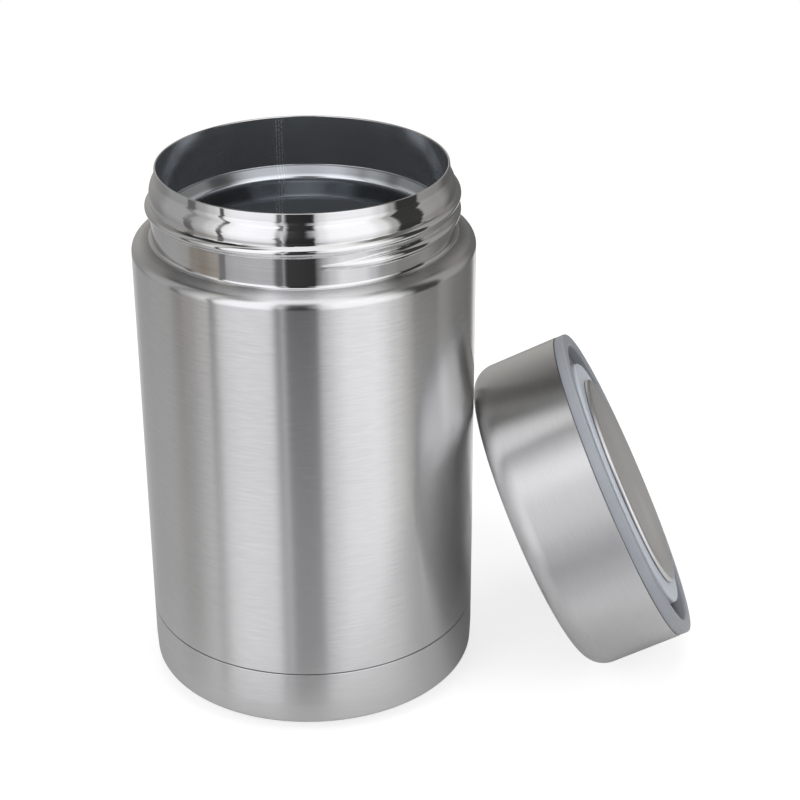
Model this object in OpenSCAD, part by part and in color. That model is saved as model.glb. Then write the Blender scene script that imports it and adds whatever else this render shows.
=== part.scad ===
// Insulated food jar: a double-walled steel jar with its screw lid taken off and leaning on it.
// Millimetres, +Z up. The origin is on the table at the jar's axis, and the lid leans on the +X side.

/* [Jar body] */
// Outer diameter of the jar
body_d = 100; // [97:1:115]
// Height of the lip over the table
jar_h = 163.2; // [145:0.1:190]
// Thickness of the outer steel sheet
shell_t = 0.4; // [0.3:0.05:0.6]
// Radius of the shoulder's outer edge
shoulder_edge_r = 3; // [1.5:0.5:5]
// Rise of the shoulder from its edge to the foot of the neck
shoulder_rise = 1.9; // [1:0.1:3]

/* [Neck] */
// Outer diameter of the neck over its straight, threaded part
neck_d = 88.2; // [84:0.2:90]
// Height of the lip over the foot of the neck
neck_h = 20.9; // [18:0.1:26]
// Height of the straight band under the lip
lip_band_h = 2.9; // [1.5:0.1:5]
// How far the lip band stands in from the neck's straight part
lip_inset = 1.7; // [0.8:0.1:2.5]
// Radius of the bulge between the straight part and the lip band
neck_bulge_r = 8; // [5:0.5:12]
// Thickness of the neck's steel sheet
neck_t = 0.3; // [0.2:0.05:0.5]
// Radius of the fillet at the foot of the neck
neck_foot_r = 0.9; // [0.5:0.1:1.4]

/* [Thread] */
// Rise of the thread in one turn
thread_lead = 4.8; // [4:0.1:6]
// Number of turns of the bead on the neck
thread_turns = 1.4; // [1:0.1:1.8]
// How far the bead stands out of the neck
bead_h = 1.4; // [0.8:0.1:1.8]
// Width of the bead
bead_w = 3.3; // [2:0.1:3.8]
// Height of the bead's lower end over the foot of the neck
bead_start_h = 5.9; // [4:0.1:7]
// Direction in which the bead starts, from +X
bead_start_angle = -82; // [-180:1:180]

/* [Inner vessel] */
// Inner diameter of the vessel
vessel_d = 90.6; // [84:0.2:93]
// Thickness of the inner steel sheet
vessel_t = 0.4; // [0.3:0.05:0.6]
// Diameter of the opening inside the ledge
ledge_hole_d = 76.5; // [66:0.1:78]
// Depth of the ledge's outer edge under the lip
ledge_depth = 15.3; // [13:0.1:18]
// Drop of the ledge from its outer edge to its inner edge
ledge_drop = 3.3; // [1:0.1:4]
// Radius of the ledge's inner edge
ledge_edge_r = 1.5; // [0.8:0.1:2.5]
// Height of the vessel's widening under the ledge
throat_h = 8; // [6:0.5:12]
// Height of the vessel's floor over the table
vessel_floor_h = 12.5; // [11:0.5:20]
// Corner radius of the vessel's floor
vessel_corner_r = 6; // [3:0.5:9]
// Depth of the drawn bottom that closes the vessel's tube
vessel_bottom_h = 13; // [11:0.5:18]
// Thickness of the heat-reflecting foil round the vessel
foil_t = 0.15; // [0.1:0.05:0.3]

/* [Base] */
// Height of the base cap's upper edge over the table
cap_h = 21.3; // [16:0.1:26]
// Thickness of the base cap
cap_t = 0.5; // [0.3:0.05:0.7]
// Diameter of the flat foot
foot_d = 78.8; // [72:0.2:84]
// Slope of the cap from its foot to its corner
cap_slope = 22; // [12:1:28]
// Corner radius of the base cap
cap_corner_r = 2; // [1:0.5:3.5]
// Height at which the cap's wall reaches its full diameter
cap_draft_h = 10.5; // [8:0.5:13]
// How far the cap's corner stands in from its full diameter
cap_draft = 0.3; // [0:0.1:0.6]
// Radius of the pressed groove in the foot
foot_groove_r = 31; // [24:0.5:34]
// Width of the pressed groove
foot_groove_w = 3; // [2:0.5:5]
// Depth of the pressed groove
foot_groove_h = 0.6; // [0.3:0.1:0.7]
// Thickness of the glue between the cap and the jar's bottom
glue_t = 1.2; // [0.8:0.1:2]

/* [Vacuum fittings] */
// Thickness of the plate that closes the outer shell
plate_t = 0.5; // [0.4:0.1:0.8]
// Diameter of the hole through which the air is drawn out
port_d = 2.4; // [1.5:0.1:4]
// Diameter of the dimple round that hole
dimple_d = 11; // [8:0.5:14]
// Depth of the dimple
dimple_h = 1.6; // [1:0.1:2.2]
// Diameter of the getter capsule
getter_d = 9; // [6:0.5:12]
// Height of the getter capsule
getter_h = 2.2; // [1.5:0.1:3]
// Distance of the getter from the jar's axis
getter_x = 20; // [16:0.5:26]

/* [Lid] */
// Outer diameter of the lid
lid_d = 100; // [98:1:115]
// Height of the lid
lid_h = 32.2; // [30:0.1:40]
// Thickness of the lid's steel sheet
lid_t = 0.4; // [0.3:0.05:0.6]
// Height of the lid's rounded top edge
lid_edge_h = 7; // [4:0.5:9]
// Width of the lid's rounded top edge
lid_edge_w = 5.9; // [3:0.1:9]
// Height of the plastic rim under the steel
rim_h = 3.4; // [2.5:0.1:5]
// Radius of the rim's outer edge
rim_edge_r = 0.8; // [0.4:0.1:1.2]
// Thickness of the lid's foam
lid_foam_t = 9; // [7:0.5:11]
// Thickness of the liner's floor
liner_floor_t = 2; // [1.5:0.1:3]
// Thickness of the liner's threaded wall
liner_wall_t = 1.8; // [1.2:0.1:2.4]
// How far the liner's thread stands in from its wall
liner_bead_h = 1; // [0.6:0.1:1.1]
// Width of the liner's thread
liner_bead_w = 1.6; // [1:0.1:2]
// Number of turns of the liner's thread
liner_turns = 0.8; // [0.5:0.1:1]
// Depth of the liner's thread inside the rim
liner_bead_depth = 2.4; // [2:0.1:4]

/* [Plug] */
// Outer diameter of the seal ring
seal_d = 80; // [78.6:0.2:82]
// Height of the seal ring
seal_h = 3.6; // [3:0.1:5]
// Width of the seal ring
seal_w = 7.4; // [5:0.2:8]
// Radius of the seal ring's outer edges
seal_edge_r = 1; // [0.5:0.1:1.5]
// Depth of the seal's face inside the rim
seal_depth = 0.1; // [0:0.1:1]
// Diameter of the steel disc in the plug
disc_d = 68; // [62:0.5:70]
// Thickness of the steel disc
disc_t = 0.5; // [0.3:0.1:0.6]
// Radius of the disc's rolled edge
disc_edge_r = 1; // [0.9:0.1:1.2]
// How far the disc stands out of the rim
disc_proud = 1.4; // [1.2:0.1:2]
// Wall thickness of the plug's plastic housing
plug_t = 1.6; // [1.2:0.1:2.2]

/* [Leaning lid] */
// Angle of the lid's axis over the table
lean = 25.3; // [20:0.1:32]
// How far the lid leans off the jar's middle
lean_y = 4; // [0:0.5:8]
// Gap between the leaning lid and the jar
lean_gap = 0.3; // [0.2:0.05:0.6]

/* [Hidden] */
// Overrun of cuts
over = 1;
// Gap between two sheets that are welded or glued
weld_gap = 0.05;
// Gap between pieces that are pressed together
seat_gap = 0.1;
// Running clearance between the seal ring and the plug
seal_gap = 0.3;
// Clearance between the neck's thread and the liner
thread_gap = 0.35;
// Least clearance round the seal ring in the jar's mouth
mouth_gap = 0.6;
// Least width of the space between the two walls
vacuum_gap = 1;
// How deep a thread's root lies in its wall
root_sink = 0.12;
// Gap at the line over the base cap
cap_line = 0.25;
// Steps of a round
round_steps = 6;
// Steps of one turn of a thread
turn_steps = 24;
// Overlap of the thread's steps, as an angle
step_lap = 0.5;
// Angle over which a thread runs out
run_out = 20;
$fn = 120;

body_r = body_d / 2;
neck_r = neck_d / 2;
neck_foot_z = jar_h - neck_h;
lip_r = neck_r - lip_inset;
mouth_r = lip_r - neck_t - weld_gap - vessel_t;
foil_room = weld_gap + foil_t + vacuum_gap;
vessel_r = min(vessel_d / 2, body_r - shell_t - foil_room - vessel_t);
ledge_r = min(ledge_hole_d / 2, mouth_r - 2 * ledge_edge_r, vessel_r - ledge_edge_r);
ledge_z = jar_h - ledge_depth;
foot_r = foot_d / 2;
groove_r = min(foot_groove_r, foot_r - foot_groove_w - cap_corner_r);

// Shares of a thread bead's height and width, from its lower to its upper side
bead_shares = [[0.55, -0.38], [0.92, -0.18], [1, 0], [0.92, 0.18], [0.55, 0.38]];

function unit(v) = v / norm(v);
function left(v) = [-v[1], v[0]];
function turned(p) = [for (i = [len(p) - 1:-1:0]) p[i]];
// Points of an elliptical arc
function arc(c, rx, ry, a0, a1, n = round_steps) =
    [for (i = [0:n]) let (a = a0 + (a1 - a0) * i / n) c + [rx * cos(a), ry * sin(a)]];
// Points of a round of radius r where the line from a to b meets the line from b to c
function blend(a, b, c, r, n = round_steps) =
    let (u = unit(a - b), v = unit(c - b), h = acos(u * v) / 2, m = b + unit(u + v) * r / sin(h),
        p = b + u * r / tan(h) - m, q = b + v * r / tan(h) - m,
        s = atan2(p[1], p[0]), d = atan2(q[1], q[0]) - s,
        e = d > 180 ? d - 360 : d < -180 ? d + 360 : d)
    arc(m, r, r, s, s + e, n);
// An open line moved sideways by t, to its left
function beside(p, t) =
    let (n = len(p), d = [for (i = [0:n - 2]) left(unit(p[i + 1] - p[i]))])
    [for (i = [0:n - 1])
        let (a = d[max(i - 1, 0)], b = d[min(i, n - 2)]) p[i] + (a + b) * t / (1 + a * b)];

// A turned sheet of thickness t to the left of a line
module sheet(p, t) {
    rotate_extrude() polygon(concat(p, turned(beside(p, t))));
}

// A thread bead on a wall of radius r, in short turned steps: out is 1 on a shaft and -1 in a bore
module bead(r, h, w, lead, turns, start, out) {
    n = round(turn_steps * turns);
    step = 360 * turns / n;
    for (i = [0:n - 1]) {
        k = min(1, (0.5 + min(i, n - 1 - i)) * step / run_out);
        rotate([0, 0, start + i * step]) translate([0, 0, lead * turns * i / n])
            rotate_extrude(angle = step + step_lap) polygon(concat(
                [[r - out * root_sink, -w / 2]],
                [for (s = bead_shares) [r + out * s[0] * h * k, s[1] * w]],
                [[r - out * root_sink, w / 2]]));
    }
}

// Neck: foot, threaded wall, bulge and lip band, from the foot up, as an outer line
foot_start = [neck_r + neck_foot_r, neck_foot_z];
bulge_angle = acos(1 - lip_inset / neck_bulge_r);
bulge_z = jar_h - lip_band_h - neck_bulge_r * sin(bulge_angle);
neck_line = concat(
    arc([neck_r + neck_foot_r, neck_foot_z + neck_foot_r], neck_foot_r, neck_foot_r, 270, 180),
    arc([neck_r - neck_bulge_r, bulge_z], neck_bulge_r, neck_bulge_r, 0, bulge_angle),
    [[lip_r, jar_h]]);

// Outer shell: from under the base cap up its wall and over the shoulder
step_r = body_r - cap_draft - cap_t - weld_gap;
plate_rim_z = (body_r - cap_draft - foot_r) * tan(cap_slope) + glue_t + cap_t + plate_t;
shoulder_corner = [body_r, neck_foot_z - shoulder_rise];
shell_line = concat(
    [[step_r, plate_rim_z], [step_r, cap_h + weld_gap], [body_r, cap_h + cap_line]],
    blend([body_r, cap_h], shoulder_corner, foot_start, shoulder_edge_r),
    [foot_start + [weld_gap, -weld_gap * tan(cap_slope)]]);

// Vessel: its inner line from the lip down the mouth and over the ledge to the bottom's joint
ledge_out = [mouth_r, ledge_z];
ledge_in = [ledge_r, ledge_z - ledge_drop];
// The throat passes under the shoulder and inside the foot of the neck
throat_pass = [neck_r - neck_t - vacuum_gap, neck_foot_z - shoulder_rise - vacuum_gap];
throat_drop = max(throat_h,
    (vessel_r - ledge_r) * (ledge_in[1] - throat_pass[1]) / (throat_pass[0] - ledge_r));
throat_corner = [vessel_r, ledge_in[1] - throat_drop];
vessel_joint_z = vessel_floor_h + vessel_bottom_h;
vessel_line = concat([[mouth_r, jar_h], ledge_out],
    blend(ledge_out, ledge_in, throat_corner, ledge_edge_r),
    blend(ledge_in, throat_corner, [vessel_r, vessel_joint_z], throat_h / 2),
    [[vessel_r, vessel_joint_z]]);

// Base cap: its outer line from the axis out and up
groove_slope = foot_groove_w / 4;
cap_corner = [body_r - cap_draft, (body_r - cap_draft - foot_r) * tan(cap_slope)];
cap_line_points = concat(
    [[0, 0], [groove_r, 0], [groove_r + groove_slope, foot_groove_h],
        [groove_r + foot_groove_w - groove_slope, foot_groove_h], [groove_r + foot_groove_w, 0],
        [foot_r, 0]],
    blend([foot_r, 0], cap_corner, [body_r, cap_draft_h], cap_corner_r),
    [[body_r, cap_draft_h], [body_r, cap_h]]);

// Plate that closes the outer shell: its lower line from the axis out
plate_r = step_r - shell_t - weld_gap;
plate_z = cap_t + glue_t;
dimple_r = dimple_d / 2;
plate_rim = [plate_r, plate_rim_z - plate_t];
plate_line = [[0, plate_z + dimple_h], [dimple_r - dimple_h, plate_z + dimple_h], [dimple_r, plate_z],
    [foot_r - glue_t, plate_z], plate_rim, [plate_r, plate_rim_z + plate_t]];

// Lid, on its closed top, with its open side up
bore_r = neck_r + bead_h + thread_gap;
lid_r = max(lid_d / 2, bore_r + liner_wall_t + seat_gap + lid_t);
seam_z = lid_h - rim_h;
foam_z = lid_t + seat_gap;
liner_z = foam_z + lid_foam_t + seat_gap;
channel_z = liner_z + liner_floor_t;
seal_r = min(seal_d / 2, mouth_r - mouth_gap);
seal_face_z = lid_h - seal_depth;
seal_back_z = seal_face_z - seal_h;
seal_hole_r = seal_r - seal_w;
disc_r = min(disc_d / 2, seal_r - seal_edge_r - seal_gap);
disc_z = lid_h + disc_proud;
disc_low = seal_face_z + seal_gap;
disc_edge = min(disc_edge_r, disc_z - disc_low - weld_gap);
disc_line = concat([[0, disc_z]],
    arc([disc_r - disc_edge, disc_z - disc_edge], disc_edge, disc_edge, 90, 0),
    [[disc_r, disc_low]]);
plug_r = seal_r - seal_edge_r;
plug_floor_z = channel_z + seat_gap + plug_t;
plug_top_z = seal_back_z - seal_gap - plug_t;
collar_r = min(seal_hole_r, disc_r - disc_t) - seal_gap;
collar_z = disc_z - disc_t - seat_gap;
lid_line = concat([[0, 0]],
    arc([lid_r - lid_edge_w, lid_edge_h], lid_edge_w, lid_edge_h, 270, 360, 2 * round_steps),
    [[lid_r, seam_z]]);

// Place of the leaning lid: it stands on the table and all but touches the jar
edge_in = lid_r - lid_edge_w;
lid_z = edge_in * cos(lean) - lid_edge_h * sin(lean)
    + norm([lid_edge_w * cos(lean), lid_edge_h * sin(lean)]);
lid_x = body_r + lean_gap + edge_in * sin(lean) - lid_edge_h * cos(lean)
    + norm([lid_edge_w * sin(lean), lid_edge_h * cos(lean)]);

module leaning() {
    translate([lid_x, lean_y, lid_z]) rotate([0, 90 - lean, 0]) children();
}

// Jar

module outer_shell() {
    color("silver") sheet(shell_line, shell_t);
}

module threaded_neck() {
    color("gainsboro") {
        sheet(neck_line, neck_t);
        translate([0, 0, neck_foot_z + bead_start_h])
            bead(neck_r, bead_h, bead_w, thread_lead, thread_turns, bead_start_angle, 1);
    }
}

module inner_vessel() {
    color("slategray") sheet(vessel_line, vessel_t);
}

module inner_bottom() {
    line = concat([[0, vessel_floor_h]],
        arc([vessel_r - vessel_corner_r, vessel_floor_h + vessel_corner_r],
            vessel_corner_r, vessel_corner_r, 270, 360),
        [[vessel_r, vessel_joint_z - weld_gap]]);
    color("slategray") sheet(line, -vessel_t);
}

module heat_foil() {
    r = vessel_r + vessel_t + weld_gap;
    color("peru") translate([0, 0, vessel_joint_z])
        difference() {
            cylinder(h = throat_corner[1] - throat_h / 2 - vessel_joint_z, r = r + foil_t);
            translate([0, 0, -over]) cylinder(h = jar_h, r = r);
        }
}

module outer_bottom() {
    color("silver") difference() {
        sheet(plate_line, plate_t);
        cylinder(h = jar_h, d = port_d);
    }
}

// Pellet that closes the hole after the air is drawn out
module vacuum_seal() {
    color("dimgray") translate([0, 0, plate_z + dimple_h]) {
        translate([0, 0, -plate_t]) cylinder(h = plate_t - weld_gap, d = port_d * 2);
        translate([0, 0, -plate_t]) cylinder(h = 2 * plate_t, d = port_d - seat_gap);
    }
}

module getter() {
    color("darkgray") translate([getter_x, 0, plate_z + plate_t + weld_gap])
        cylinder(h = getter_h, d = getter_d);
}

// Strap that holds the getter on the plate
module getter_clip() {
    w = getter_d / 3;
    a = getter_d / 2 + seat_gap;
    top = getter_h + seat_gap;
    line = [[-a - w, 0], [-a, 0], [-a, top], [a, top], [a, 0], [a + w, 0]];
    color("silver") translate([getter_x, w / 2, plate_z + plate_t + weld_gap])
        rotate([90, 0, 0]) linear_extrude(w) polygon(concat(line, turned(beside(line, plate_t / 2))));
}

module base_glue() {
    color("ivory") translate([0, 0, cap_t])
        difference() {
            cylinder(h = glue_t, r = groove_r - foot_groove_w);
            translate([0, 0, -over]) cylinder(h = jar_h, d = 2 * dimple_d);
        }
}

module base_cap() {
    color("silver") sheet(cap_line_points, cap_t);
}

// Lid

module lid_shell() {
    color("silver") leaning() sheet(lid_line, lid_t);
}

module lid_liner() {
    rim_back = seam_z + seat_gap;
    web_r = bore_r + liner_wall_t;
    color("slategray") leaning() {
        rotate_extrude() polygon(concat(
            [[0, liner_z], [web_r, liner_z], [web_r, rim_back], [lid_r - seat_gap, rim_back]],
            arc([lid_r - seat_gap - rim_edge_r, lid_h - rim_edge_r], rim_edge_r, rim_edge_r, 0, 90),
            arc([bore_r + rim_edge_r, lid_h - rim_edge_r], rim_edge_r, rim_edge_r, 90, 180),
            [[bore_r, channel_z], [0, channel_z]]));
        translate([0, 0, lid_h - liner_bead_depth - thread_lead * liner_turns])
            bead(bore_r, liner_bead_h, liner_bead_w, thread_lead, liner_turns, 0, -1);
    }
}

module lid_foam() {
    color("ivory") leaning() translate([0, 0, foam_z])
        cylinder(h = lid_foam_t, r = edge_in - lid_t);
}

// Cup under the seal, with the collar round which the seal ring sits
module plug_housing() {
    color("aliceblue") leaning() rotate_extrude() polygon([
        [0, channel_z + seat_gap], [plug_r, channel_z + seat_gap], [plug_r, seal_back_z - seal_gap],
        [collar_r, seal_back_z - seal_gap], [collar_r, collar_z], [collar_r - plug_t, collar_z],
        [collar_r - plug_t, plug_top_z], [plug_r - plug_t, plug_top_z],
        [plug_r - plug_t, plug_floor_z], [0, plug_floor_z]]);
}

module plug_foam() {
    low = plug_floor_z + seat_gap;
    color("ivory") leaning() translate([0, 0, low])
        cylinder(h = plug_top_z - seat_gap - low, r = plug_r - plug_t - seat_gap);
}

module plug_disc() {
    color("gainsboro") leaning() sheet(disc_line, -disc_t);
}

module seal_ring() {
    color("lightcyan") leaning() rotate_extrude() polygon(concat(
        [[seal_hole_r, seal_back_z]],
        arc([seal_r - seal_edge_r, seal_back_z + seal_edge_r], seal_edge_r, seal_edge_r, 270, 360),
        arc([seal_r - seal_edge_r, seal_face_z - seal_edge_r], seal_edge_r, seal_edge_r, 0, 90),
        [[seal_hole_r, seal_face_z]]));
}

outer_shell();
threaded_neck();
inner_vessel();
inner_bottom();
heat_foil();
outer_bottom();
vacuum_seal();
getter();
getter_clip();
base_glue();
base_cap();
lid_shell();
lid_liner();
lid_foam();
plug_housing();
plug_foam();
plug_disc();
seal_ring();
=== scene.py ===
import math

import bpy
from mathutils import Matrix, Vector


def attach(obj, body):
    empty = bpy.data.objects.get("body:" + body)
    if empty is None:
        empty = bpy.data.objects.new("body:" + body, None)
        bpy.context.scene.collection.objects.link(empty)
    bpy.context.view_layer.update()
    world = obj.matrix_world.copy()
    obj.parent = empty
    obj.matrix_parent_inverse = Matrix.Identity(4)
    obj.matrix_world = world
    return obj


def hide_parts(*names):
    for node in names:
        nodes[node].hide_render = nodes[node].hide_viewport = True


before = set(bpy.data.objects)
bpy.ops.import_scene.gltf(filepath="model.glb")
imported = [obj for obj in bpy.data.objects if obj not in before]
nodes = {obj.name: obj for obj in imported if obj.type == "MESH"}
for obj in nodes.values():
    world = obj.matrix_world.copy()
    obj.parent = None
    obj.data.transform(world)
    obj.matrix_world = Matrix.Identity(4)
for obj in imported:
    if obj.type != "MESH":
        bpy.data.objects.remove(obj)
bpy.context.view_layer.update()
scene = bpy.context.scene

# Sizes are in millimetres here and in metres in Blender
MM = 0.001
TURN = 2 * math.pi

# Jar
BODY_R = 50.0
JAR_H = 163.2
SHELL_T = 0.4
SHOULDER_DROP = 1.9
SHOULDER_R = 3
WALL_RINGS = range(24, 138, 3)
SEAM_GAP = 0.05
NECK_R = 44.1
NECK_FOOT_Z = 142.3
NECK_T = 0.3
NECK_LOW_Z = NECK_FOOT_Z + 2.6
NECK_ROWS = 84
FOOT_FILLET = 0.9
LIP_R = 42.4
LIP_BAND = 2.9
LIP_ROUND = 3.0
LIP_SLANT = 0.17
LIP_T = 0.75
LIP_EDGE_R = 0.27
BULGE_R = 8.0
CAP_H = 21.3
CAP_T = 0.5
CAP_INSET = 0.3
CAP_SLOPE = math.tan(math.radians(22))
CAP_SIDE_Z = 10.5
CAP_FLAT_R = 31
CAP_GROOVE_R = 32.5
CAP_RING_R = 34
CAP_EDGE_R = 1.2
FOOT_R = 39.4
VESSEL_R = 45.3
VESSEL_T = 0.4
VESSEL_BOTTOM_R = 6
MOUTH_R = 41.65
MOUTH_DROP = 0.25
LEDGE_R = 38.25
LEDGE_Z = 147.6
LEDGE_DROP = 3.7
LEDGE_SET = 0.15
LEDGE_RIM = 0.6
THROAT_H = 8
JOINT_Z = 25.5
FLOOR_Z = 12.5
BEAD_H = 1.4
BEAD_W = 3.3
BEAD_LIFT = 5.9
BEAD_START = math.radians(-82)
BEAD_TURNS = 1.4
BEAD_RUN_OUT = math.radians(26)
LEAD = 4.8
SEAM_ANGLE = math.radians(102.5)

# Lid
LID_R = 50.0
LID_H = 32.2
LID_T = 0.4
LID_FILLET = 5.9
LID_DOME = 7
SEAM_Z = 28.8
SEAM_R = 0.15
BORE_R = 45.85
WEB_T = 1.8
RIM_INSET = 0.1
RIM_R = 0.8
LINER_Z = 9.6
CHANNEL_Z = 11.6
THREAD_ZONE = 10
THREAD_ROWS = 60
THREAD_TURNS = 0.8
THREAD_H = 1.0
THREAD_W = 1.6
THREAD_TOP = 2.4
THREAD_RUN_OUT = math.radians(20)
SEAL_R = 40.0
SEAL_HOLE_R = 32.6
SEAL_FACE = 32.1
SEAL_BACK = 28.5
DISC_R = 34.0
DISC_Z = 33.6
DISC_T = 0.5
EDGE_R = 1
LEAN = math.radians(25.3)
LID_PLACE = Vector((69.630276, 4.0, 42.994219)) * MM

# Meshes
STEPS = 256
SHARP_ANGLE = math.radians(32)
SMALLEST = 1e-6
UV_SCALE = 3


def arc(cx, cz, rx, rz, a0, a1, n):
    """Points of an elliptical arc from angle a0 to a1, in degrees."""
    out = []
    for i in range(n + 1):
        a = math.radians(a0 + (a1 - a0) * i / n)
        out.append((cx + rx * math.cos(a), cz + rz * math.sin(a)))
    return out


def fillet(a, b, c, r, n=10):
    """Points of a round of radius r at b, between the lines to a and to c."""
    va, vb, vc = Vector(a), Vector(b), Vector(c)
    u, v = (va - vb).normalized(), (vc - vb).normalized()
    half = math.acos(max(-1, min(1, u.dot(v)))) / 2
    mid = vb + (u + v).normalized() * r / math.sin(half)
    p, q = vb + u * r / math.tan(half) - mid, vb + v * r / math.tan(half) - mid
    s = math.atan2(p[1], p[0])
    d = math.atan2(q[1], q[0]) - s
    d = (d + math.pi) % TURN - math.pi
    angles = [s + d * i / n for i in range(n + 1)]
    return [(mid[0] + r * math.cos(a), mid[1] + r * math.sin(a)) for a in angles]


def beside(line, t):
    """An open line moved sideways by t, to its left."""
    d = [(Vector(line[i + 1]) - Vector(line[i])).normalized() for i in range(len(line) - 1)]
    d = [Vector((-v[1], v[0])) for v in d]
    out = []
    for i, p in enumerate(line):
        a, b = d[max(i - 1, 0)], d[min(i, len(d) - 1)]
        m = (a + b) * t / (1 + a.dot(b))
        out.append((p[0] + m[0], p[1] + m[1]))
    return out


def sheet(line, t):
    """The closed outline of a sheet of thickness t to the left of a line."""
    return line + beside(line, t)[::-1]


def key(r, z):
    return round(r, 3), round(z, 3)


def lathe(name, outline, steps=STEPS, push=None, place=None):
    """A closed outline of (radius, height) turned about Z, then placed.

    push(angle, radius, height) moves a point out. The mesh keeps its unplaced points as the attribute
    turned, and a UV map that runs round the axis.
    """
    clean = [p for i, p in enumerate(outline) if (Vector(p) - Vector(outline[i - 1])).length > 1e-4]
    area = sum(a[0] * b[1] - b[0] * a[1] for a, b in zip(clean[-1:] + clean[:-1], clean))
    if area < 0:
        clean.reverse()
    rings, verts, spots = [], [], []
    along = 0.0
    for i, (r, z) in enumerate(clean):
        along += (Vector((r, z)) - Vector(clean[i - 1])).length * MM if i else 0.0
        spots.append(along)
        if r < SMALLEST:
            rings.append([len(verts)] * steps)
            verts.append(Vector((0, 0, z * MM)))
            continue
        rings.append(list(range(len(verts), len(verts) + steps)))
        for k in range(steps):
            a = TURN * k / steps
            rr = r + (push(a, r, z) if push else 0)
            verts.append(Vector((rr * math.cos(a) * MM, rr * math.sin(a) * MM, z * MM)))
    faces, flat = [], []
    for i, hi in enumerate(rings):
        lo = rings[i - 1]
        if lo[0] == lo[1] and hi[0] == hi[1]:
            continue
        v0, v1 = spots[i - 1], spots[i] if i else along + 0.001
        for k in range(steps):
            j = (k + 1) % steps
            quad = [(lo[k], k, v0), (lo[j], k + 1, v0), (hi[j], k + 1, v1), (hi[k], k, v1)]
            face = [c for n, c in enumerate(quad) if c[0] != quad[n - 1][0]]
            if len(face) > 2:
                faces.append([c[0] for c in face])
                flat += [(c[1] / steps, c[2] * UV_SCALE) for c in face]
    place = place or Matrix.Identity(4)
    mesh = bpy.data.meshes.new(name)
    mesh.from_pydata([place @ v for v in verts], [], faces)
    uv = mesh.uv_layers.new(name="round")
    uv.data.foreach_set("uv", [x for c in flat for x in c])
    turned = mesh.attributes.new("turned", "FLOAT_VECTOR", "POINT")
    turned.data.foreach_set("vector", [x for v in verts for x in v])
    mesh.polygons.foreach_set("use_smooth", [True] * len(mesh.polygons))
    mesh.update()
    mesh.set_sharp_from_angle(angle=SHARP_ANGLE)
    obj = bpy.data.objects.new(name, mesh)
    scene.collection.objects.link(obj)
    weighted = obj.modifiers.new("weighted", "WEIGHTED_NORMAL")
    weighted.keep_sharp = True
    weighted.weight = 80
    return obj


def bead(u):
    """Height of a rolled bead at a share u of its half width."""
    a = 1 - abs(u) ** 2.4
    return 0.5 * (a + math.sqrt(a * a + 0.0064))


def ease(x):
    x = max(0.0, min(1.0, x))
    return x * x * (3 - 2 * x)


def helix(start, turns, base_z, height, width, run_out):
    """How far a rolled bead stands out at an angle and a height."""
    total = turns * TURN

    def out(a, z):
        best = 0.0
        t = (a - start) % TURN
        while t < total:
            k = ease(min(t, total - t) / run_out)
            w = width * (0.45 + 0.55 * k) / 2
            u = (z - base_z - LEAD * t / TURN) / w
            if abs(u) < 2.2 and k > 0:
                best = max(best, bead(u) * height * k)
            t += TURN
        return best

    return out


# Materials

MARK_DEPTH = 0.00002
GRAIN_DEPTH = 0.00004
POLISH_DEPTH = 0.00006
CELL_DEPTH = 0.0002


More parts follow.
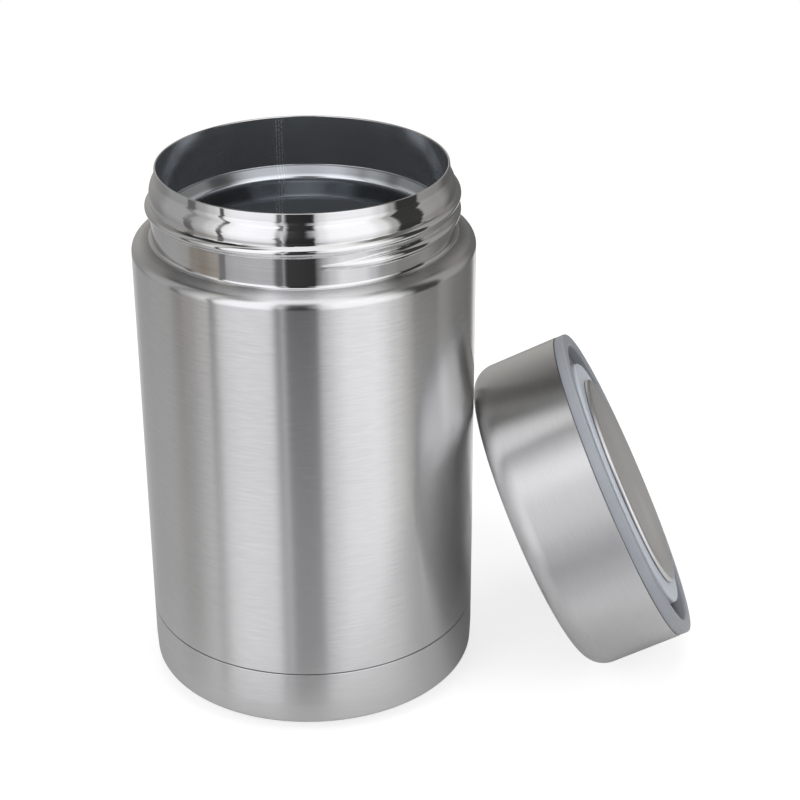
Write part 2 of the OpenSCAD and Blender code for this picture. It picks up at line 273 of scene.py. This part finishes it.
class Nodes:
    """Short names for making shader nodes."""

    def __init__(self, tree):
        self.tree = tree

    def add(self, kind, inputs=(), **settings):
        node = self.tree.nodes.new(kind)
        for name, value in settings.items():
            setattr(node, name, value)
        for socket, value in dict(inputs).items():
            self.put(node.inputs[socket], value)
        return node

    def put(self, socket, value):
        if isinstance(value, bpy.types.NodeSocket):
            self.tree.links.new(value, socket)
        else:
            socket.default_value = value

    def math(self, operation, a, b=0.0, c=0.0):
        return self.add("ShaderNodeMath", {0: a, 1: b, 2: c}, operation=operation).outputs[0]

    def plus(self, a, b):
        return self.math("ADD", a, b)

    def minus(self, a, b):
        return self.math("SUBTRACT", a, b)

    def times(self, a, b):
        return self.math("MULTIPLY", a, b)

    def over(self, a, b):
        return self.math("DIVIDE", a, b)

    def length(self, x, y):
        return self.math("SQRT", self.plus(self.times(x, x), self.times(y, y)))

    def span(self, value, a, b, c=0.0, d=1.0, smooth=True):
        """A value that goes from a to b, changed to one that goes from c to d."""
        sockets = {"Value": value, "From Min": a, "From Max": b, "To Min": c, "To Max": d}
        kind = "SMOOTHSTEP" if smooth else "LINEAR"
        return self.add("ShaderNodeMapRange", sockets, interpolation_type=kind).outputs[0]

    def heights(self, value, a, b, c=0.0, d=1.0, smooth=True):
        """The same with a and b in millimetres."""
        return self.span(value, a * MM, b * MM, c, d, smooth)

    def spread(self, noise, c, d, smooth=True):
        """The same over the range in which most of a noise lies."""
        return self.span(noise, 0.3, 0.7, c, d, smooth)

    def noise(self, vector, scale=1.0, detail=2.0, rough=0.5):
        sockets = {"Vector": vector, "Scale": scale, "Detail": detail, "Roughness": rough}
        return self.add("ShaderNodeTexNoise", sockets).outputs["Fac"]

    def vector(self, x, y, z):
        return self.add("ShaderNodeCombineXYZ", {0: x, 1: y, 2: z}).outputs[0]

    def mix(self, factor, a, b, blend="MIX"):
        node = self.add("ShaderNodeMix", data_type="RGBA", blend_type=blend)
        self.put(node.inputs[0], factor)
        self.put(node.inputs[6], a)
        self.put(node.inputs[7], b)
        return node.outputs[2]

    def shaded(self, colour, tone):
        return self.mix(1.0, colour, self.vector(tone, tone, tone), "MULTIPLY")

    def either(self, factor, a, b):
        node = self.add("ShaderNodeMixShader", {0: factor})
        self.put(node.inputs[1], a.outputs[0])
        self.put(node.inputs[2], b.outputs[0])
        return node

    def parts(self, at):
        return self.add("ShaderNodeSeparateXYZ", {0: at}).outputs

    def object_place(self):
        return self.add("ShaderNodeTexCoord").outputs["Object"]

    def turned_place(self, turned=True):
        """The place on the piece's own axis, and x, y, z and the distance from that axis."""
        if turned:
            at = self.add("ShaderNodeAttribute", attribute_name="turned").outputs["Vector"]
        else:
            at = self.object_place()
        x, y, z = self.parts(at)
        return at, (x, y, z, self.math("MAXIMUM", self.length(x, y), 1e-5))

    def marks(self, spot, turns, gap, detail):
        """Noise drawn out round the axis. It changes about every radius / turns, and every gap mm across."""
        x, y, z, radius = spot
        cx, cy = self.over(x, radius), self.over(y, radius)
        across = self.over(self.minus(z, radius), gap * MM)
        return self.noise(self.vector(self.times(cx, turns), self.times(cy, turns), across), 1.0, detail)

    def bump(self, shader, height, strength, distance):
        node = self.add("ShaderNodeBump", {"Height": height, "Strength": strength, "Distance": distance})
        self.put(shader.inputs["Normal"], node.outputs[0])


def new_material(name, **values):
    m = bpy.data.materials.new(name)
    m.use_nodes = True
    shader = m.node_tree.nodes["Principled BSDF"]
    for socket, value in values.items():
        shader.inputs[socket.replace("_", " ")].default_value = value
    return m, Nodes(m.node_tree), shader


def grey(level, warm=0.0):
    return (level * (1 + warm), level, level * (1 - warm), 1.0)


def brushed(name, level, rough, aniso, depth, warm=0.0, length=5.0, spacing=0.28, turned=True, smooth=None,
            marks=0.045):
    """Steel with fine marks that run round the piece's axis.

    Between the two heights of smooth it gets smoother, and above them rough again. Then the shoulder next
    to the neck also gets painted shade, a darker base colour.
    """
    m, n, shader = new_material(name, Metallic=1.0, Anisotropic=aniso, Anisotropic_Rotation=0.25)
    at, spot = n.turned_place(turned)
    z, radius = spot[2:]
    fine = n.marks(spot, BODY_R / length, spacing, 2.0)
    coarse = n.marks(spot, BODY_R / (length * 5), spacing * 3, 2.0)
    cloud = n.noise(at, 28.0, 3.0)
    both = n.plus(n.times(fine, 0.8), n.times(coarse, 0.2))
    tone = n.plus(n.spread(both, -marks, marks, False), n.spread(cloud, -0.012, 0.012))
    value = n.plus(tone, 1.0)
    roughness = n.spread(both, rough - 0.012, rough + 0.012, False)
    if smooth:
        low, top = smooth
        # Painted shade: the base colour darkens on the shoulder towards the neck
        value = n.times(value, n.heights(radius, NECK_R + 1, BODY_R - 1.8, 0.6, 1.0))
        roughness = n.times(roughness, n.heights(z, low, top, 1.0, 0.74, False))
        roughness = n.times(roughness, n.heights(z, top, top + 4, 1.0, 1.34, False))
    n.put(shader.inputs["Base Color"], n.shaded(grey(level, warm), value))
    n.put(shader.inputs["Roughness"], roughness)
    n.bump(shader, both, depth, MARK_DEPTH)
    if turned:
        tangent = n.add("ShaderNodeTangent", direction_type="UV_MAP", uv_map="round")
    else:
        tangent = n.add("ShaderNodeTangent", direction_type="RADIAL", axis="Z")
    n.put(shader.inputs["Tangent"], tangent.outputs[0])
    return m


def weld(n, spot, angle):
    """Two lines of small dots up the vessel's wall."""
    x, y, z, radius = spot
    off = n.over(n.times(n.minus(n.math("ARCTAN2", y, x), angle), radius), MM)
    near = n.times(n.span(n.math("ABSOLUTE", off), 1.9, 1.2), n.heights(z, JOINT_Z, JOINT_Z + 1))
    wave = n.math("COSINE", n.times(off, math.pi / 0.85))
    line = n.math("POWER", n.math("ABSOLUTE", wave), 4.0)
    grain = n.noise(n.vector(n.times(off, 1.1), 0.0, n.over(z, 0.55 * MM)), 1.0, 2.0)
    return n.times(n.times(near, line), n.plus(n.times(n.span(grain, 0.42, 0.62), 0.8), 0.2))


def vessel_painted_light_and_shade(n, spot, tone):
    """Painted highlights on the ledge's edges, painted shade in the throat, painted light lower, painted shade
    deeper.
    """
    z, radius = spot[2:]
    throat_z = LEDGE_Z - LEDGE_DROP
    ledge = n.times(n.heights(z, LEDGE_Z + 0.3, LEDGE_Z), n.heights(z, throat_z - 1, throat_z))
    # Painted highlights along the ledge's outer and inner edges
    edges = n.plus(n.heights(radius, LEDGE_R + 1.4, LEDGE_R + 0.8, 0.0, 0.8),
                   n.heights(radius, MOUTH_R - 0.6, MOUTH_R - 0.3, 0.0, 0.35))
    tone = n.times(tone, n.plus(n.times(ledge, edges), 1.0))
    # Painted shade in the throat, painted light on the walls below it, and painted shade again deeper down
    throat = n.heights(z, throat_z, throat_z - 2, 1.0, 0.55)
    below = n.heights(z, throat_z - 6, throat_z - 9.5, 0.0, 1.6)
    painted_deep_shade = n.heights(z, throat_z - 20, throat_z - 45, 0.0, 0.7)
    return n.times(tone, n.minus(n.plus(throat, below), painted_deep_shade))


def polished(name, level, rough, warm=0.0, ripple=0.25, seam=None, metal=1.0):
    """Smooth rolled steel with faint polishing marks. Where seam gives an angle, it is the welded vessel."""
    m, n, shader = new_material(name, Metallic=metal)
    at, spot = n.turned_place()
    marks = n.marks(spot, 2.2, 0.28, 3.0)
    waves = n.marks(spot, 7.0, 9, 1.0)
    smudge = n.noise(at, 60.0, 4.0, 0.6)
    height = n.plus(n.times(marks, 0.05), n.times(waves, ripple))
    tone = n.spread(marks, 0.96, 1.03, False)
    roughness = n.plus(n.spread(marks, rough - 0.01, rough + 0.02, False),
                       n.span(smudge, 0.45, 0.75, 0.0, 0.02))
    if seam is not None:
        dots = weld(n, spot, seam)
        height = n.plus(height, n.times(dots, 0.9))
        roughness = n.plus(roughness, n.times(dots, 0.2))
        tone = vessel_painted_light_and_shade(n, spot, n.plus(tone, n.times(dots, 0.5)))
    n.put(shader.inputs["Base Color"], n.shaded(grey(level, warm), tone))
    n.put(shader.inputs["Roughness"], roughness)
    n.bump(shader, height, 0.5, POLISH_DEPTH)
    return m


def moulded(name, colour, rough, grain=0.35, coat=0.0, soft=0.0, painted_deep_shade=None):
    """Plastic or silicone with a fine moulded grain.

    Where two heights are given, it gets painted shade below them, which goes over to its full colour between
    them.
    """
    m, n, shader = new_material(name, Coat_Weight=coat, Coat_Roughness=0.15, Subsurface_Weight=soft)
    shader.inputs["Subsurface Radius"].default_value = (0.002, 0.002, 0.0025)
    shader.inputs["Subsurface Scale"].default_value = 1.0
    at = n.object_place()
    fine = n.noise(at, 2600.0, 2.0)
    cloud = n.noise(at, 90.0, 3.0)
    tone = n.plus(n.spread(cloud, 0.96, 1.02), n.spread(fine, -0.015, 0.015))
    if painted_deep_shade:
        # Painted shade: the colour darkens deep down, below the given heights
        height = n.turned_place()[1][2]
        tone = n.times(tone, n.heights(height, *painted_deep_shade, 0.3, 1.0))
    n.put(shader.inputs["Base Color"], n.shaded((*colour, 1.0), tone))
    n.put(shader.inputs["Roughness"], n.spread(fine, rough - 0.03, rough + 0.05, False))
    n.bump(shader, fine, grain, GRAIN_DEPTH)
    return m


def foam(name, colour):
    m, n, shader = new_material(name)
    cells = n.add("ShaderNodeTexVoronoi", {"Vector": n.object_place(), "Scale": 1400.0}).outputs["Distance"]
    # Painted shade: the base colour is darker in the pits of the cells
    n.put(shader.inputs["Base Color"], n.shaded((*colour, 1.0), n.span(cells, 0.0, 0.7, 0.82, 1.03)))
    n.put(shader.inputs["Roughness"], n.span(cells, 0.0, 0.7, 0.95, 0.8))
    n.bump(shader, cells, 0.6, CELL_DEPTH)
    return m


def crinkled(name, level):
    m, n, shader = new_material(name, Metallic=1.0)
    folds = n.add("ShaderNodeTexVoronoi", {"Vector": n.object_place(), "Scale": 160.0},
                  feature="DISTANCE_TO_EDGE").outputs[0]
    # Painted shade: the base colour is darker along the fold creases
    n.put(shader.inputs["Base Color"], n.mix(n.span(folds, 0.0, 0.2), grey(level * 0.85), grey(level)))
    n.put(shader.inputs["Roughness"], n.span(folds, 0.0, 0.3, 0.35, 0.16))
    n.bump(shader, folds, 0.4, CELL_DEPTH)
    return m


body_steel = brushed("body_steel", 0.8, 0.257, 0.94, 0.055, smooth=(40, 138))
base_steel = brushed("base_steel", 0.8, 0.258, 0.93, 0.055)
lid_steel = brushed("lid_steel", 0.74, 0.33, 0.94, 0.06, marks=0.035)
neck_steel = polished("neck_steel", 0.8, 0.035)
vessel_steel = polished("vessel_steel", 0.44, 0.17, -0.045, 0.1, SEAM_ANGLE, 0.92)
disc_steel = brushed("disc_steel", 0.92, 0.36, 0.3, 0.15, warm=0.01, length=30.0, spacing=0.2)
plain_steel = brushed("plain_steel", 0.6, 0.35, 0.3, 0.3, turned=False)
foil = crinkled("foil", 0.85)
glass_solder = moulded("glass_solder", (0.05, 0.05, 0.06), 0.15, 0.2, 0.3)
glue = moulded("glue", (0.75, 0.74, 0.7), 0.55, 0.5)
white_foam = foam("white_foam", (0.86, 0.83, 0.74))
# The liner gets painted shade deep in its channel
liner_plastic = moulded("liner_plastic", (0.265, 0.28, 0.305), 0.33, painted_deep_shade=(LID_H - 7, LID_H - 1.6))
plug_plastic = moulded("plug_plastic", (0.5, 0.53, 0.57), 0.35)
silicone = moulded("silicone", (0.5, 0.535, 0.585), 0.3, 0.2, 0.2, 0.15)


def wear(obj, material, body, node):
    obj.data.materials.clear()
    obj.data.materials.append(material)
    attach(obj, body)
    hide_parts(node)


# Jar

side_r = BODY_R - CAP_INSET
foot = (NECK_R + FOOT_FILLET, NECK_FOOT_Z)
corner = (BODY_R, NECK_FOOT_Z - SHOULDER_DROP)
cap_corner = (side_r, (side_r - FOOT_R) * CAP_SLOPE)
step_r = side_r - CAP_T - SEAM_GAP
shell_line = ([(step_r, cap_corner[1] + CAP_EDGE_R + CAP_T + 0.5), (step_r, CAP_H + SEAM_GAP)]
              + arc(BODY_R - 0.25, CAP_H + 0.5, 0.25, 0.2, 270, 360, 4)
              + [(BODY_R, z) for z in WALL_RINGS]
              + fillet((BODY_R, CAP_H), corner, foot, SHOULDER_R, 16)
              + [(foot[0] + 0.05, foot[1] - 0.02)])
wear(lathe("shell", sheet(shell_line, SHELL_T)), body_steel, "jar", "outer_shell")

cap_side = (BODY_R, CAP_SIDE_Z)
cap_line = ([(0, 0), (CAP_FLAT_R, 0)] + arc(CAP_GROOVE_R, 0, 1.2, 0.6, 180, 0, 10)[1:-1] + [(CAP_RING_R, 0)]
            + fillet((CAP_RING_R, 0), (FOOT_R, 0), cap_corner, CAP_EDGE_R, 5)
            + fillet((FOOT_R, 0), cap_corner, cap_side, 2, 10)
            + fillet(cap_corner, cap_side, (BODY_R, CAP_H), 20, 4)
            + arc(BODY_R - 0.15, CAP_H - 0.15, 0.15, 0.15, 0, 90, 3))
wear(lathe("cap", sheet(cap_line, CAP_T)), base_steel, "jar", "base_cap")

neck_bead = helix(BEAD_START, BEAD_TURNS, NECK_FOOT_Z + BEAD_LIFT, BEAD_H, BEAD_W, BEAD_RUN_OUT)
bulge_z = JAR_H - LIP_BAND - math.sqrt(BULGE_R ** 2 - (LIP_R - NECK_R + BULGE_R) ** 2)
lip_rise = math.sqrt((BULGE_R + LIP_ROUND) ** 2 - (LIP_R + LIP_ROUND - NECK_R + BULGE_R) ** 2)
lip_round_z = bulge_z + lip_rise
bulge_angle = math.degrees(math.asin((lip_round_z - bulge_z) / (BULGE_R + LIP_ROUND)))
lip_low, lip_in = (LIP_R, JAR_H - LIP_BAND), LIP_R - LIP_T
lip_top, lip_back = (LIP_R - LIP_SLANT, JAR_H), (lip_in, JAR_H)
neck_outer = (arc(NECK_R + FOOT_FILLET, NECK_FOOT_Z + FOOT_FILLET, FOOT_FILLET, FOOT_FILLET, 270, 180, 10)
              + [(NECK_R, NECK_LOW_Z + (bulge_z - NECK_LOW_Z) * i / NECK_ROWS) for i in range(NECK_ROWS)]
              + arc(NECK_R - BULGE_R, bulge_z, BULGE_R, BULGE_R, 0, bulge_angle, 40)
              + arc(LIP_R + LIP_ROUND, lip_round_z, LIP_ROUND, LIP_ROUND, 180 + bulge_angle, 180, 12)[1:]
              + fillet(lip_low, lip_top, lip_back, LIP_EDGE_R, 6)
              + fillet(lip_top, lip_back, (lip_in, JAR_H - 1), LIP_EDGE_R, 6)
              + [(lip_in, JAR_H - 0.5), (LIP_R - NECK_T, JAR_H - 0.55)])
neck_inner = beside([p for p in neck_outer if p[1] <= lip_round_z], NECK_T)[::-1]
outer_points = {key(r, z) for r, z in neck_outer}


def neck_push(a, r, z):
    return neck_bead(a, z) if r > LIP_R and key(r, z) in outer_points else 0.0


neck_line = neck_outer + neck_inner
wear(lathe("neck", neck_line, 384, neck_push), neck_steel, "jar", "threaded_neck")

ledge_out, ledge_rim = (MOUTH_R - LEDGE_SET, LEDGE_Z), (MOUTH_R - LEDGE_RIM, LEDGE_Z)
ledge_in = (LEDGE_R, LEDGE_Z - LEDGE_DROP)
throat_foot = (VESSEL_R, LEDGE_Z - LEDGE_DROP - THROAT_H)
vessel_end = (VESSEL_R, JOINT_Z)
vessel_line = ([(MOUTH_R, JAR_H - MOUTH_DROP), (MOUTH_R, LEDGE_Z + 0.35), (MOUTH_R - LEDGE_SET, LEDGE_Z + 0.1)]
               + fillet(ledge_out, ledge_rim, ledge_in, 0.5, 4)
               + fillet(ledge_rim, ledge_in, throat_foot, 1.5, 12)
               + fillet(ledge_in, throat_foot, vessel_end, 4, 10)
               + [vessel_end])
wear(lathe("vessel", sheet(vessel_line, VESSEL_T)), vessel_steel, "jar", "inner_vessel")

round_r = VESSEL_BOTTOM_R
bottom_line = ([(0, FLOOR_Z)] + arc(VESSEL_R - round_r, FLOOR_Z + round_r, round_r, round_r, 270, 360, 14)
               + [(VESSEL_R, JOINT_Z - SEAM_GAP)])
wear(lathe("bottom", sheet(bottom_line, -VESSEL_T)), vessel_steel, "jar", "inner_bottom")

# Lid, made on its own axis and then leaned

LEANED = Matrix.Translation(LID_PLACE) @ Matrix.Rotation(math.radians(90) - LEAN, 4, "Y")

lid_line = ([(0, 0)] + arc(LID_R - LID_FILLET, LID_DOME, LID_FILLET, LID_DOME, 270, 360, 32)
            + [(LID_R, SEAM_Z - SEAM_R)]
            + arc(LID_R - SEAM_R, SEAM_Z - SEAM_R, SEAM_R, SEAM_R, 0, 90, 3))
lid_mesh = lathe("lid_shell_steel", sheet(lid_line, LID_T), place=LEANED)
wear(lid_mesh, lid_steel, "lid", "lid_shell")

web_r = BORE_R + WEB_T
back_z = SEAM_Z + 0.12
rim_top = LID_H - RIM_R
thread_low, thread_top = CHANNEL_Z + THREAD_ZONE, LID_H - 0.9
inner_thread = helix(0, THREAD_TURNS, LID_H - THREAD_TOP - LEAD * THREAD_TURNS, THREAD_H, THREAD_W,
                     THREAD_RUN_OUT)
liner_in = [(BORE_R, thread_low + (thread_top - thread_low) * i / THREAD_ROWS)
            for i in range(THREAD_ROWS, -1, -1)]
inner_points = {key(r, z) for r, z in liner_in}
liner_line = ([(0, LINER_Z), (web_r, LINER_Z), (web_r, back_z), (LID_R - 0.25, back_z)]
              + arc(LID_R - RIM_INSET - 0.2, back_z + 0.2, 0.2, 0.2, 270, 360, 3)[1:]
              + arc(LID_R - RIM_INSET - RIM_R, rim_top, RIM_R, RIM_R, 0, 90, 10)
              + arc(BORE_R + RIM_R, rim_top, RIM_R, RIM_R, 90, 180, 10)
              + liner_in
              + fillet(liner_in[-1], (BORE_R, CHANNEL_Z), (0, CHANNEL_Z), RIM_R, 5)
              + [(0, CHANNEL_Z)])


def liner_push(a, r, z):
    return -inner_thread(a, z) if key(r, z) in inner_points else 0.0


liner_mesh = lathe("liner", liner_line, 320, liner_push, place=LEANED)
wear(liner_mesh, liner_plastic, "lid", "lid_liner")

seal_line = ([(SEAL_HOLE_R, SEAL_BACK)]
             + arc(SEAL_R - EDGE_R, SEAL_BACK + EDGE_R, EDGE_R, EDGE_R, 270, 360, 10)
             + arc(SEAL_R - EDGE_R, SEAL_FACE - EDGE_R, EDGE_R, EDGE_R, 0, 90, 10)
             + [(SEAL_HOLE_R, SEAL_FACE)])
wear(lathe("seal", seal_line, place=LEANED), silicone, "seal", "seal_ring")

disc_line = ([(0, DISC_Z)] + arc(DISC_R - EDGE_R, DISC_Z - EDGE_R, EDGE_R, EDGE_R, 90, 0, 10)
             + [(DISC_R, SEAL_FACE + 0.3)])
disc_mesh = lathe("disc", sheet(disc_line, -DISC_T), place=LEANED)
wear(disc_mesh, disc_steel, "lid", "plug_disc")

for name, material in (("heat_foil", foil), ("outer_bottom", plain_steel), ("vacuum_seal", glass_solder),
                       ("getter", plain_steel), ("getter_clip", plain_steel), ("base_glue", glue),
                       ("lid_foam", white_foam), ("plug_housing", plug_plastic), ("plug_foam", white_foam)):
    node = nodes[name]
    for k in range(max(1, len(node.material_slots))):
        if len(node.material_slots) <= k:
            node.data.materials.append(material)
        else:
            node.material_slots[k].material = material

# Floor, lamps, world and camera

FLOOR_HALF = 6
FLOOR_LIFT = 0.76
BOARD_X = 0.055

floor_corners = [(FLOOR_HALF * x, FLOOR_HALF * y, 0) for x, y in ((-1, -1), (1, -1), (1, 1), (-1, 1))]
floor_mesh = bpy.data.meshes.new("floor")
floor_mesh.from_pydata(floor_corners, [], [(0, 1, 2, 3)])
floor = bpy.data.objects.new("floor", floor_mesh)
scene.collection.objects.link(floor)
floor.location.z = -0.0002
paper = bpy.data.materials.new("paper")
paper.use_nodes = True
p = Nodes(paper.node_tree)
paper.node_tree.nodes.remove(paper.node_tree.nodes["Principled BSDF"])
path = p.add("ShaderNodeLightPath")
from_camera, glossy = path.outputs["Is Camera Ray"], path.outputs["Is Glossy Ray"]
paper_colour = p.mix(glossy, (0.8, 0.8, 0.8, 1), (0.5, 0.5, 0.5, 1))
paper_colour = p.mix(from_camera, paper_colour, (0.3, 0.3, 0.3, 1))
lit = p.add("ShaderNodeBsdfDiffuse", {"Color": paper_colour})
glow = p.add("ShaderNodeEmission", {"Color": (1, 1, 1, 1), "Strength": p.times(from_camera, FLOOR_LIFT)})
lit_paper = p.add("ShaderNodeAddShader", {0: lit.outputs[0], 1: glow.outputs[0]})
# Away from the object the floor goes over into plain white for the camera
white = p.add("ShaderNodeEmission", {"Color": (1, 1, 1, 1), "Strength": 1.0})
floor_x, floor_y = p.parts(p.object_place())[:2]
distance = p.length(floor_x, floor_y)
fading = p.either(p.times(p.span(distance, 0.25, 0.6), from_camera), lit_paper, white)
# The metal mirrors only the board under the object, and past it what stands round the table
near = p.length(p.times(p.minus(floor_x, BOARD_X), 0.7), floor_y)
past = p.times(p.span(near, 0.07, 0.11), glossy)
board = p.either(past, fading, p.add("ShaderNodeBsdfTransparent"))
p.put(paper.node_tree.nodes["Material Output"].inputs["Surface"], board.outputs[0])
floor.data.materials.append(paper)

VIEW = math.radians(-87)
world = bpy.data.worlds.new("studio")
scene.world = world
world.use_nodes = True
w = Nodes(world.node_tree)
compass_x, compass_y, rise = w.parts(w.add("ShaderNodeTexCoord").outputs["Generated"])
turn = w.minus(w.math("ARCTAN2", compass_y, compass_x), VIEW)
turn = w.math("WRAP", turn, math.pi, -math.pi)
share = w.plus(w.over(turn, TURN), 0.5)


def ramp(stops, factor=share):
    """Light by direction: stops of (angle from the camera's side, level or colour)."""
    node = w.add("ShaderNodeValToRGB", {0: factor})
    node.color_ramp.interpolation = "EASE"
    elements = node.color_ramp.elements
    while len(elements) > 1:
        elements.remove(elements[-1])
    for i, (angle, value) in enumerate(stops):
        e = elements[0] if i == 0 else elements.new(angle / 360 + 0.5)
        e.position = angle / 360 + 0.5
        e.color = (*value, 1) if isinstance(value, tuple) else (value, value, value, 1)
    return node.outputs[0]


# Softboxes to the left and right of the camera with a gap between them, and dimmer sides
boxes = ramp([(-180, (0.52, 0.505, 0.48)), (-165, (0.4, 0.39, 0.375)), (-130, 0.3), (-116, 0.4),
              (-88, 0.42), (-80, 0.5), (-72, 0.72), (-63, 0.95), (-52, 1.18), (-44, 1.22), (-28, 1.17),
              (-14, 1.0), (8, 0.7), (12, 0.95), (20, 1.18), (30, 1.22), (48, 1.21), (60, 0.92), (68, 0.45),
              (76, 0.38), (97, 0.38), (120, 0.33), (140, 0.15), (165, 0.15), (180, (0.52, 0.505, 0.48))])

# Stands and edges, which the polished neck mirrors as dark stripes with unsteady sides
unsteady = w.minus(w.noise(w.vector(w.times(share, 50.0), w.times(rise, 7.0), 0.0), 1.0, 2.0), 0.5)
stands = ramp([(-180, 1), (-97.5, 1), (-95.5, 0.4), (-88.5, 0.4), (-86.5, 1), (-66, 1), (-65, 0.13),
               (-61.5, 0.13), (-60.5, 1), (-21.4, 1), (-20.6, 0.15), (-16.8, 0.2), (-16, 0.8), (-14.6, 0.8),
               (-13.7, 0.04), (6.8, 0.04), (8.6, 1), (71, 1), (74, 0.12), (94.5, 0.13), (97, 1), (180, 1)],
              w.plus(share, w.times(unsteady, 0.016)))
blurred = ramp([(-180, 1), (-98, 1), (-92, 0.62), (-86, 1), (-67, 1), (-63.2, 0.2), (-60, 1), (-23, 1),
                (-18.7, 0.55), (-16, 0.7), (-14.5, 0.55), (-11, 0.06), (0, 0.04), (5, 0.5), (9, 1), (70, 1),
                (74, 0.12), (94.5, 0.12), (98, 1), (180, 1)], w.plus(share, w.times(unsteady, 0.01)))

# What stands beyond the table's edge, the table itself, and the floor under it
beyond = ramp([(-180, 1.0), (-165, 0.7), (-148, 0.4), (-112, 0.38), (-98, (0.36, 0.35, 0.34)),
               (-92, (0.3, 0.27, 0.24)), (-82, (0.24, 0.21, 0.18)), (-68, (0.32, 0.29, 0.26)), (-65, 0.2),
               (-61.5, 0.2), (-60, 0.38), (-52, 0.44), (-36, 0.49), (-25, 0.48), (-20.6, 0.15),
               (-17.2, 0.15), (-15.5, 0.3), (-13.7, 0.05), (7, 0.04), (10, 0.2), (14, 0.42), (20, 0.64),
               (28, 0.87), (44, 0.82), (52, 0.58), (60, 0.34), (76, 0.26), (100, 0.28), (125, 0.15),
               (149, 0.18), (160, 1.1), (180, 1.0)])
table = ramp([(-180, 1.0), (-165, 0.7), (-140, 0.44), (-98, 0.47), (-94, 0.4), (-89, 0.4),
              (-86, (0.49, 0.5, 0.53)), (-70, (0.58, 0.59, 0.62)), (-66.5, 0.62), (-65, 0.42),
              (-62.5, 0.42), (-61, 0.74), (-48, 0.85), (-28, 0.8), (-22, 0.72), (-20.3, 0.46),
              (-17.6, 0.46), (-16.4, 0.68), (-14.8, 0.68), (-13, 0.4), (6, 0.41), (9, 0.6), (16, 0.64),
              (28, 0.83), (54, 1.0), (68, 0.84), (80, 0.64), (95, 0.5), (111, 0.28), (125, 0.16),
              (149, 0.18), (160, 1.1)])
ground = ramp([(-180, 1.0), (-165, 0.6), (-140, 0.44), (-100, 0.47), (-70, 0.54), (-40, 0.68), (-8, 0.6),
               (8, 0.58), (22, 0.6), (40, 0.74), (60, 0.78), (80, 0.58), (99, 0.43), (125, 0.2),
               (146, 0.3), (156, 1.0), (180, 1.0)])

# Panels above, a dark back, and the tint of the whole round
high = ramp([(-180, 0.2), (-165, 0.12), (-149, 0.04), (-118, 0.03), (-110, 0.06), (-104, (0.24, 0.23, 0.22)),
             (-97, (0.6, 0.58, 0.55)), (-88, (0.74, 0.72, 0.68)), (-81, (0.5, 0.49, 0.47)), (-73, 0.08),
             (-60, 0.05), (-52, 0.5), (-42, 1.2), (0, 1.05), (40, 1.1), (76, 0.85), (90, 0.25), (110, 0.15),
             (180, 0.2)])
back = ramp([(-180, 1), (-124, 1), (-114, 0), (122, 0), (140, 1), (180, 1)])
tint = ramp([(-180, 1.0), (-66, 1.0), (-50, (0.99, 0.985, 1.02)), (50, (0.99, 0.99, 1.015)),
             (72, (1.01, 1.0, 0.98)), (110, (1.02, 1.0, 0.97)), (150, (1.01, 1.0, 0.98)), (180, 1.0)])

fade = w.times(w.span(rise, -0.34, 0.0, 0.8, 1.0), w.span(rise, 0.5, 0.6, 1.0, 1.06))
middle = w.times(w.span(rise, -0.1, 0.2), w.span(rise, 0.55, 0.42))
around = w.shaded(w.mix(1.0, boxes, w.mix(middle, stands, blurred), "MULTIPLY"), fade)
for low, top, colour in ((0.28, 0.5, (0.26, 0.25, 0.24, 1)), (0.56, 0.7, (0.04, 0.04, 0.04, 1))):
    around = w.mix(w.times(w.span(rise, low, top), back), around, colour)
for low, top, colour in ((-0.39, -0.32, beyond), (-0.49, -0.44, table), (-0.74, -0.6, ground)):
    around = w.mix(w.span(rise, low, top), colour, around)
for low, top, colour in ((0.69, 0.82, high), (0.91, 0.98, (1.0, 1.0, 1.01, 1))):
    around = w.mix(w.span(rise, low, top), around, colour)
sky = w.mix(1.0, around, tint, "MULTIPLY")
seen = w.add("ShaderNodeLightPath").outputs["Is Camera Ray"]
w.put(world.node_tree.nodes["Background"].inputs["Color"], w.mix(seen, sky, (1, 1, 1, 1)))

LAMP_AIM = (0.02, 0, 0.07)


def lamp(name, place, size, power):
    data = bpy.data.lights.new(name, "AREA")
    data.shape = "RECTANGLE"
    data.size, data.size_y = size
    data.energy = power
    obj = bpy.data.objects.new(name, data)
    scene.collection.objects.link(obj)
    obj.location = place
    obj.rotation_euler = (Vector(LAMP_AIM) - Vector(place)).to_track_quat("-Z", "Y").to_euler()
    obj.visible_glossy = False


lamp("left_softbox", (-0.9, -0.9, 1.0), (0.9, 0.9), 9.0)
lamp("right_softbox", (1.0, -0.8, 1.0), (0.9, 0.9), 7.0)
lamp("top_softbox", (0.1, 0.35, 1.2), (1.0, 0.7), 6.0)

CAMERA_PLACE = Vector((27.7, -527.1, 347.6)) * MM
CAMERA_DOWN = 26.30
CAMERA_ROLL = -0.18

camera_data = bpy.data.cameras.new("camera")
camera_data.sensor_width = 36
camera_data.lens = 87.37
camera_data.clip_start = 0.01
camera = bpy.data.objects.new("camera", camera_data)
scene.collection.objects.link(camera)
camera.matrix_world = (Matrix.Translation(CAMERA_PLACE)
                       @ Matrix.Rotation(math.radians(90 - CAMERA_DOWN), 4, "X")
                       @ Matrix.Rotation(math.radians(CAMERA_ROLL), 4, "Z"))
scene.camera = camera
scene.view_settings.view_transform = "Standard"

bpy.context.view_layer.update()
